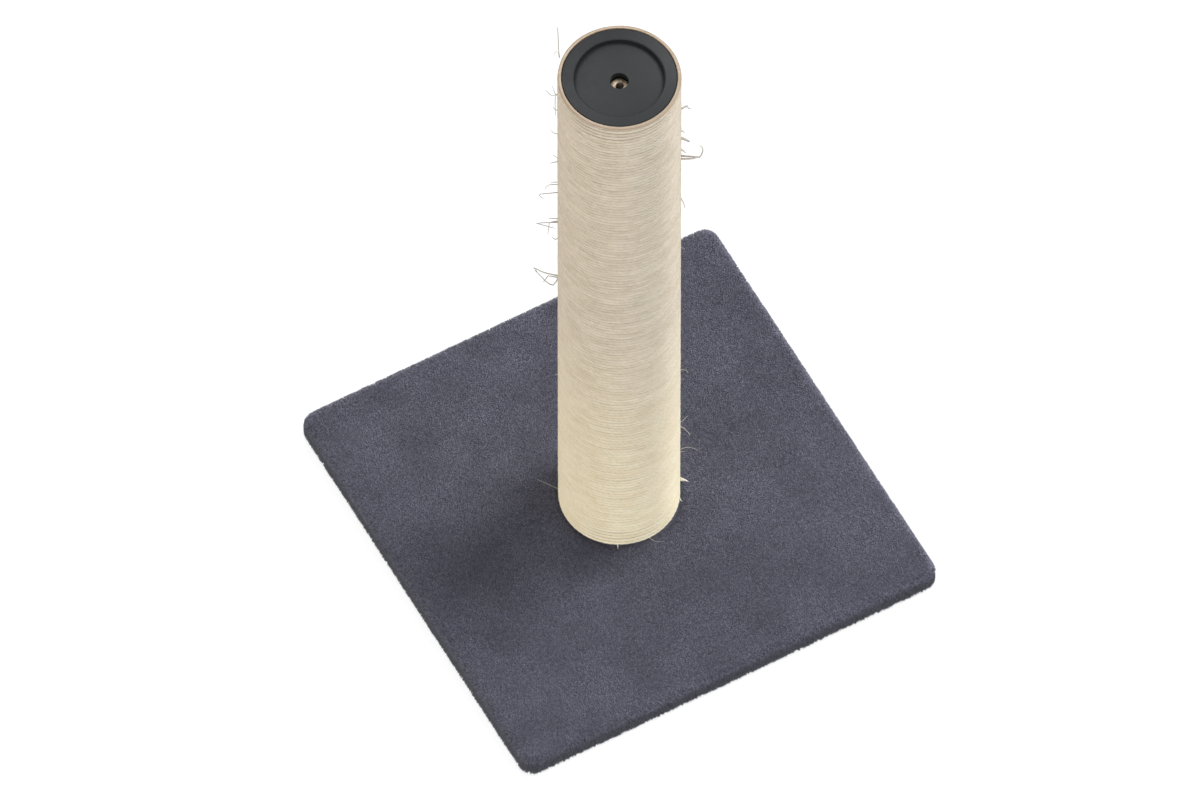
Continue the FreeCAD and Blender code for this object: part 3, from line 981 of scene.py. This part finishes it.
def band_spots(rng, spacing):
    """Tuft roots and directions round the cover's edge, from the top down to the hem."""
    side, corner = GROUND_HALF, GROUND_CORNER
    straight = 2 * (side - corner)
    quarter = straight + corner * math.pi / 2
    round_length = GROUND_ROUND * math.pi / 2
    wall = PILE_BAND_DEPTH - GROUND_ROUND
    total = 4 * quarter * (round_length + wall)
    count = int(total / spacing**2)
    run = rng.uniform(0, 4 * quarter, count)
    down = rng.uniform(0, round_length + wall, count)
    edge, at = np.divmod(run, quarter)
    on_round = down < round_length
    turn = np.where(on_round, down / GROUND_ROUND, math.pi / 2)
    inset = GROUND_ROUND * (1 - np.sin(turn))
    z = GROUND_TOP_Z - GROUND_ROUND * (1 - np.cos(turn))
    z = np.where(on_round, z, z - (down - round_length))
    bend = np.clip((at - straight) / corner, 0, math.pi / 2)
    x = np.where(at < straight, side, side - corner + corner * np.cos(bend))
    y = np.where(at < straight, at - straight / 2, side - corner + corner * np.sin(bend))
    normal = np.stack([np.cos(bend), np.sin(bend), np.zeros(count)], -1)
    out = np.stack([x, y, z], -1) - normal * inset[:, None]
    normal = normal * np.sin(turn)[:, None] + np.array([0, 0, 1]) * np.cos(turn)[:, None]
    quarter_turn = edge * math.pi / 2
    cos, sin = np.cos(quarter_turn), np.sin(quarter_turn)
    for vectors in (out, normal):
        vx, vy = vectors[:, 0].copy(), vectors[:, 1].copy()
        vectors[:, 0], vectors[:, 1] = vx * cos - vy * sin, vx * sin + vy * cos
    return out, normal


def top_spots(rng, spacing):
    """Tuft roots over the cover's flat top, clear of the post."""
    half = GROUND_HALF - GROUND_ROUND
    count = int(2 * half / spacing)
    grid = (np.arange(count) + 0.5) * 2 * half / count - half
    x, y = (a.ravel() for a in np.meshgrid(grid, grid))
    x = x + rng.uniform(-0.62, 0.62, len(x)) * spacing
    y = y + rng.uniform(-0.62, 0.62, len(y)) * spacing
    reach, angle = np.hypot(x, y), np.arctan2(y, x)
    inside = reach < outline_radius(angle, half, PLUSH_CORNER - GROUND_ROUND)
    kept = inside & (reach > SEAT_RADIUS)
    x, y = x[kept], y[kept]
    # next to the post the roots follow the ground down into its groove
    sunk = np.clip((SEAT_RADIUS + 2.7 - reach[kept]) / 2.3, 0, 1)
    roots = np.stack([x, y, GROUND_TOP_Z - (GROUND_TOP_Z - GROOVE_Z) * sunk], -1)
    return roots, np.tile([0.0, 0.0, 1.0], (len(x), 1))


def pile_lean(rng, roots, normals, upright):
    """Which way each tuft leans off its normal: drifting over the cloth, and down the sides."""
    x, y, z = roots.T
    lean = [
        0.20 + 0.20 * lumps(x, y, 34.0, 32) + 0.12 * lumps(x + z, y, 8.0, 33),
        -0.12 + 0.20 * lumps(x, y, 34.0, 34) + 0.12 * lumps(x + z, y, 8.0, 35),
        -0.10 + 0.12 * lumps(x, y, 12.0, 36),
    ]
    lean = np.stack(lean, -1) * (1 - 0.7 * upright)[:, None]
    lean[:, 2] -= 0.30 + 0.35 * upright
    lean += rng.normal(0, 0.16, roots.shape) * (1 - 0.5 * upright)[:, None]
    return lean - normals * (lean * normals).sum(1, keepdims=True)


def make_pile():
    """Cut plush pile: short pointed tufts that lean in drifting directions."""
    rng = np.random.default_rng(31)
    spots = top_spots(rng, PILE_TOP_SPACING), band_spots(rng, PILE_BAND_SPACING)
    roots, normals = (np.concatenate(pair) for pair in zip(*spots))
    x, y, z = roots.T
    count = len(roots)
    upright = 1 - normals[:, 2]  # 0 on the top, 1 on the sides
    lean = pile_lean(rng, roots, normals, upright)
    length = PILE_LENGTH + 0.25 * lumps(x + z, y - z, 6.0, 37) + rng.normal(0, 0.2, count)
    length = (np.clip(length, 1.6, 3.7) * (1 - 0.35 * upright) + 0.8 * upright)[:, None]
    wild = (rng.random(count) < 0.006) & (upright < 0.5)
    length[wild] *= 1.35
    sunk = roots - normals * PILE_ROOT_DEPTH
    tip = sunk + (normals + lean) * length
    tip[:, 2] = np.maximum(tip[:, 2], 0.3)
    # the pile next to the post is pushed up against it
    reach = np.hypot(tip[:, 0], tip[:, 1])
    nearest = SEAT_RADIUS - 0.5
    short = reach < nearest
    tip[short, :2] *= (nearest / reach[short])[:, None]
    paths = np.stack([sunk, tip], 1)
    radii = rng.uniform(*PILE_RADII, count)
    points, _, triangles, share, layout = tapered_strands(paths, radii, 38)
    pile = mesh_piece("plush_pile", points, [triangles], PILE)
    give_values(pile, "tip", share)
    # each tuft's shade: a random tone, lowered next to the post as painted shade at its foot
    shade = 0.07 * rng.normal(size=count) + 0.20 * lumps(x, y, 3.0, 39)
    painted_shade_by_post = np.clip((SEAT_RADIUS + 3.5 - np.hypot(x, y)) / 2.5, 0, 1)
    shade = 0.5 + shade * (1 - 0.5 * upright) - 0.5 * painted_shade_by_post
    give_values(pile, "shade", np.repeat(np.clip(shade, 0, 1), 4))
    give_map(pile, "OFBake", layout)
    return pile


cover_sheet = make_cover()
pile_tufts = make_pile()

# ---------------------------------------------------------------- camera

AZIMUTH = math.radians(-29.03)
ELEVATION = math.radians(57.9)
PICTURE_WIDTH = 1200
SCALE = 1030.0  # picture points to the metre
RIGHT = Vector((math.cos(AZIMUTH), math.sin(AZIMUTH), 0))
UP = Vector(
    (
        -math.sin(AZIMUTH) * math.sin(ELEVATION),
        math.cos(AZIMUTH) * math.sin(ELEVATION),
        math.cos(ELEVATION),
    )
)
BACK = RIGHT.cross(UP)
TOWARDS = Vector((BACK.x, BACK.y, 0)).normalized()
AIM = Vector((0, 0, 0.024)) - RIGHT * 0.0185 + UP * 0.0906
LENS = 1100.0
SENSOR = 36.0

camera_data = bpy.data.cameras.new("camera")
camera_data.lens = LENS
camera_data.sensor_width = SENSOR
camera_data.clip_end = 100.0
camera = new_object("camera", camera_data)
camera.location = AIM + BACK * (PICTURE_WIDTH / SCALE * LENS / SENSOR)
camera.rotation_mode = "QUATERNION"
camera.rotation_quaternion = (-BACK).to_track_quat("-Z", "Y")
bpy.context.scene.camera = camera

# ---------------------------------------------------------------- loose sisal fibres

POST_X, FOOT_Y = 621.3, 492.2  # the post's axis and foot in the picture
FOOT_Z = 24.0  # the height that FOOT_Y shows
HIGHEST_ROOT_Z = POST_TOP_Z - 1.5
FIBRE_STEPS = 9
FIBRE_WIDTH = 1.8  # radius for each unit of thickness in the list
LOOSE_FIBRES = 70
FUZZ_HAIRS = 7000
FUZZ_RADIUS = 58.4
# Each line starts at the rope and runs outwards, in picture points, after its thickness.
PICTURED_FIBRES = [
    (0.46, [(562.4, 62.5), (561.7, 56.6), (561.1, 41.3), (560.5, 30.6)]),
    (0.27, [(562.0, 60.0), (561.6, 58.7), (559.4, 56.4), (557.3, 58.3), (557.7, 60.4)]),
    (0.30, [(559.8, 99.0), (557.7, 99.1), (553.1, 99.5), (547.1, 93.1)]),
    (0.30, [(559.8, 99.5), (557.7, 98.2), (556.0, 93.6), (554.3, 89.3)]),
    (0.33, [(559.8, 98.0), (557.6, 101.0), (557.5, 111.0), (557.9, 117.0), (557.3, 121.7)]),
    (0.28, [(559.8, 114.0), (556.8, 113.2), (554.9, 109.4)]),
    (0.36, [(559.8, 137.0), (555.4, 135.9), (552.6, 133.0)]),
    (0.28, [(559.8, 160.4), (556.5, 158.2), (554.5, 156.7)]),
    (0.42, [(559.8, 164.0), (556.0, 164.8), (552.1, 165.7)]),
    (0.37, [(559.8, 183.9), (556.0, 184.0), (552.6, 184.2)]),
    (0.33, [(559.8, 186.2), (555.9, 186.4), (551.5, 186.5), (548.3, 188.8), (546.9, 192.0)]),
    (0.39, [(559.8, 193.9), (550.0, 194.8), (540.2, 195.9), (545.0, 199.6), (547.6, 200.9)]),
    (0.41, [(559.8, 219.8), (554.0, 219.4), (549.8, 219.1)]),
    (0.37, [(559.8, 223.3), (549.0, 223.6), (538.4, 224.2), (549.0, 227.0), (559.6, 230.0)]),
    (0.33, [(559.8, 222.0), (551.4, 223.5), (550.6, 230.0), (549.8, 237.1)]),
    (0.38, [(559.8, 239.0), (557.4, 240.3), (553.6, 237.6)]),
    (0.50, [(559.8, 275.7), (552.0, 274.2), (544.9, 272.4), (535.7, 267.5), (541.0, 274.5)]),
    (0.42, [(559.8, 278.4), (556.8, 283.8), (554.1, 286.0), (547.0, 280.5), (536.7, 270.2)]),
    (0.40, [(559.8, 277.4), (549.8, 275.7), (547.0, 280.5), (544.0, 283.0)]),
    (0.68, [(682.7, 112.4), (688.7, 108.9), (688.1, 111.3), (692.8, 112.8)]),
    (0.65, [(682.7, 134.0), (686.3, 135.6)]),
    (0.92, [(682.7, 140.8), (687.0, 142.6), (691.6, 144.9)]),
    (0.76, [(682.7, 157.9), (692.0, 158.6), (702.8, 159.7), (702.2, 156.1)]
        + [(705.2, 151.4), (699.9, 147.3)]),
    (0.73, [(682.7, 161.1), (690.0, 161.0), (697.5, 160.7)]),
    (0.68, [(682.7, 152.0), (687.5, 155.5)]),
    (0.45, [(682.7, 199.8), (685.4, 204.5), (686.9, 210.4)]),
    (1.35, [(682.4, 478.2), (687.0, 479.0), (692.2, 480.8)]),
    (0.60, [(681.6, 497.0), (683.2, 499.2), (684.9, 501.2)]),
    (0.13, [(682.7, 450.5), (688.3, 450.1)]),
    (0.13, [(682.7, 448.2), (685.6, 447.0), (691.0, 445.8), (701.0, 448.6)]),
    (0.12, [(559.8, 487.6), (550.0, 483.4), (536.8, 477.2)]),
    (0.50, [(620.0, 543.0), (620.3, 546.8), (620.0, 550.5)]),
    (0.10, [(651.0, 536.0), (656.0, 539.8), (668.0, 541.0)]),
]


def spot_on_post(x, y):
    """The point of the rope's surface that this picture point shows, in millimetres."""
    reach = ROPE_OUTER_RADIUS - 0.4
    aside = float(np.clip((x - POST_X) / SCALE / MM, -reach, reach))
    near = math.sqrt(reach**2 - aside**2)
    rise = (FOOT_Y - y) / SCALE / MM
    z = FOOT_Z + (rise + near * BACK.z) / UP.z
    if z > HIGHEST_ROOT_Z:
        z = HIGHEST_ROOT_Z
        near = ((z - FOOT_Z) * UP.z - rise) / BACK.z
    return np.array(RIGHT) * aside + np.array(TOWARDS) * near + np.array([0, 0, z])


def evenly(line, steps):
    """The same line as this many points at even distances along it."""
    run = np.concatenate([[0], np.cumsum(np.linalg.norm(np.diff(line, axis=0), axis=1))])
    at = np.linspace(0, run[-1], steps)
    return np.stack([np.interp(at, run, line[:, axis]) for axis in range(3)], -1)


def pictured_fibre(line, rng):
    """A fibre in its place in the picture, leaning a little towards or away from the camera."""
    root = spot_on_post(*line[0])
    points = [root]
    lean = rng.uniform(-0.35, 0.45)
    for x, y in line[1:]:
        across = np.array([x - line[0][0], line[0][1] - y]) / SCALE / MM
        depth = lean * np.hypot(*across) + rng.uniform(-0.4, 0.4)
        spot = root + np.array(RIGHT) * across[0] + np.array(UP) * across[1]
        points.append(spot + np.array(BACK) * depth)
    return evenly(np.array(points), FIBRE_STEPS)


def loose_fibre(rng):
    """A kinked fibre standing off the far side of the post."""
    towards = math.atan2(TOWARDS.y, TOWARDS.x)
    angle = towards + math.pi + rng.uniform(-1.25, 1.25)
    out = np.array([math.cos(angle), math.sin(angle), 0])
    side = np.array([-math.sin(angle), math.cos(angle), 0])
    spot = out * (ROPE_OUTER_RADIUS - 0.5) + np.array([0, 0, rng.uniform(45, 690)])
    heading = out * rng.uniform(0.5, 1.0) + side * rng.choice([-1, 1]) * rng.uniform(0.4, 1.2)
    heading[2] += rng.uniform(-0.7, 0.7)
    points, length = [spot], rng.uniform(6, 22)
    nearest = ROPE_OUTER_RADIUS + 0.3
    for _ in range(4):
        heading = unit(heading + rng.normal(0, 0.45, 3))
        spot = spot + heading * length / 4
        reach = np.hypot(spot[0], spot[1])
        if reach < nearest:
            spot[:2] *= nearest / reach
        points.append(spot)
    return evenly(np.array(points), FIBRE_STEPS)


def add_fibres(name, strands, tip_colour=1.0):
    """Makes one piece of sisal fibres, whose tips take this share of the tip's own colour."""
    points, quads, triangles, share, layout = strands
    fibres = mesh_piece(name, points, [quads, triangles], SISAL_FIBRE)
    give_values(fibres, "tip", share * tip_colour)
    give_map(fibres, "OFBake", layout)


def make_stray_fibres():
    """Long kinked fibres that have worked loose from the rope."""
    rng = np.random.default_rng(41)
    paths = [pictured_fibre(line, rng) for _, line in PICTURED_FIBRES]
    thickness = [thick for thick, _ in PICTURED_FIBRES]
    for _ in range(LOOSE_FIBRES):
        paths.append(loose_fibre(rng))
        thickness.append(rng.uniform(0.15, 0.3))
    # the short splinters near the foot end in a point, the long fibres stay even
    splinter = [thick > 0.45 and line[0][1] > 470 for thick, line in PICTURED_FIBRES]
    narrowing = np.where(splinter + [False] * LOOSE_FIBRES, 0.92, 0.4)
    taper = 1 - narrowing[:, None] * np.linspace(0, 1, FIBRE_STEPS - 1)
    radii = np.array(thickness)[:, None] * FIBRE_WIDTH * taper
    add_fibres("stray_fibres", tapered_strands(np.array(paths), radii, 42))


def make_rope_fuzz():
    """Short hairs that lie over the rope and lift at one end."""
    rng = np.random.default_rng(43)
    count = FUZZ_HAIRS
    angle = rng.uniform(0, FULL_TURN, count)
    z = rng.uniform(27, 770, count)
    length = rng.uniform(2.0, 8.0, count)
    climb = rng.normal(0, 0.35, count)
    lift = rng.gamma(1.4, 0.22, count)
    way = rng.choice([-1, 1], count)
    steps = np.linspace(0, 1, 4)
    bend = rng.normal(0, 0.25, count)
    turn = angle[:, None] + way[:, None] * length[:, None] * steps / 60.0
    height = z[:, None] + length[:, None] * (climb[:, None] * steps + bend[:, None] * steps**2)
    height = np.clip(height, PLUSH_TOP_Z, POST_TOP_Z + 0.3)
    reach = FUZZ_RADIUS + np.minimum(steps * 4, 1) * 0.8 + lift[:, None] * steps**1.6
    paths = np.stack([reach * np.cos(turn), reach * np.sin(turn), height], -1)
    radii = rng.uniform(0.055, 0.10, count)[:, None] * np.array([1.0, 0.9, 0.7])
    add_fibres("rope_fuzz", tapered_strands(paths, radii, 44), 0.25)


make_stray_fibres()
make_rope_fuzz()

# ---------------------------------------------------------------- light and floor


def sun(name, towards, elevation, strength, spread, colour=(1.0, 1.0, 1.0)):
    """A soft lamp in this direction; strength 1 lights a surface that faces it to its colour."""
    data = bpy.data.lights.new(name, "SUN")
    data.color = colour
    data.energy = strength * math.pi
    data.angle = math.radians(spread)
    lamp = new_object(name, data)
    level = towards.normalized() * math.cos(math.radians(elevation))
    direction = level + Vector((0, 0, math.sin(math.radians(elevation))))
    lamp.rotation_mode = "QUATERNION"
    lamp.rotation_quaternion = direction.to_track_quat("Z", "Y")


sun("key_light", RIGHT * 0.845 - TOWARDS * 0.535, 54, 0.54, 28)
sun("back_light", -RIGHT * 0.42 - TOWARDS * 0.91, 50, 0.25, 36)
sun("left_light", -RIGHT * 0.86 + TOWARDS * 0.50, 6, 0.57, 36)
sun("right_light", RIGHT * 0.92 + TOWARDS * 0.38, 6, 0.59, 36, (0.84, 0.93, 1.05))
sun("front_light", TOWARDS, 8, 0.36, 60)


def seen_itself(bench):
    """1 for a ray that shows this, seen directly or in a gloss, and 0 for one that it lights."""
    path = bench.put("ShaderNodeLightPath")
    rays = ("Is Camera Ray", "Is Transmission Ray", "Is Glossy Ray")
    return bench.total(*(path.outputs[ray] for ray in rays))


WHITE = (1, 1, 1, 1)
world = bpy.data.worlds.new("studio")
world.use_nodes = True
bpy.context.scene.world = world
world.node_tree.nodes.clear()
bench = Bench(world.node_tree)
plain = bench.put("ShaderNodeBackground", {"Color": WHITE, "Strength": 0.26}).outputs[0]
white = bench.put("ShaderNodeBackground", {"Color": WHITE, "Strength": 1.0}).outputs[0]
both = bench.put("ShaderNodeMixShader", {0: seen_itself(bench), 1: plain, 2: white})
bench.put("ShaderNodeOutputWorld", {"Surface": both.outputs[0]})

floor_mesh = bpy.data.meshes.new("floor")
span = 60.0
floor_mesh.from_pydata(
    [(-span, -span, 0), (span, -span, 0), (span, span, 0), (-span, span, 0)], [], [(0, 1, 2, 3)]
)
floor = new_object("floor", floor_mesh)
floor_material, bench, surface = new_material("studio_floor")
dress(bench, surface, Base_Color=(0.28, 0.28, 0.28, 1), Roughness=0.9, Specular_IOR_Level=0.0)
strength = bench.sum("MULTIPLY", seen_itself(bench), 0.85)
glow = bench.put("ShaderNodeEmission", {"Color": WHITE, "Strength": strength})
both = bench.put("ShaderNodeAddShader", {0: surface.outputs[0], 1: glow.outputs[0]})
exit_node = next(n for n in bench.tree.nodes if n.type == "OUTPUT_MATERIAL")
bench.join(exit_node.inputs["Surface"], both.outputs[0])
floor_mesh.materials.append(floor_material)

bpy.context.scene.view_settings.view_transform = "Standard"
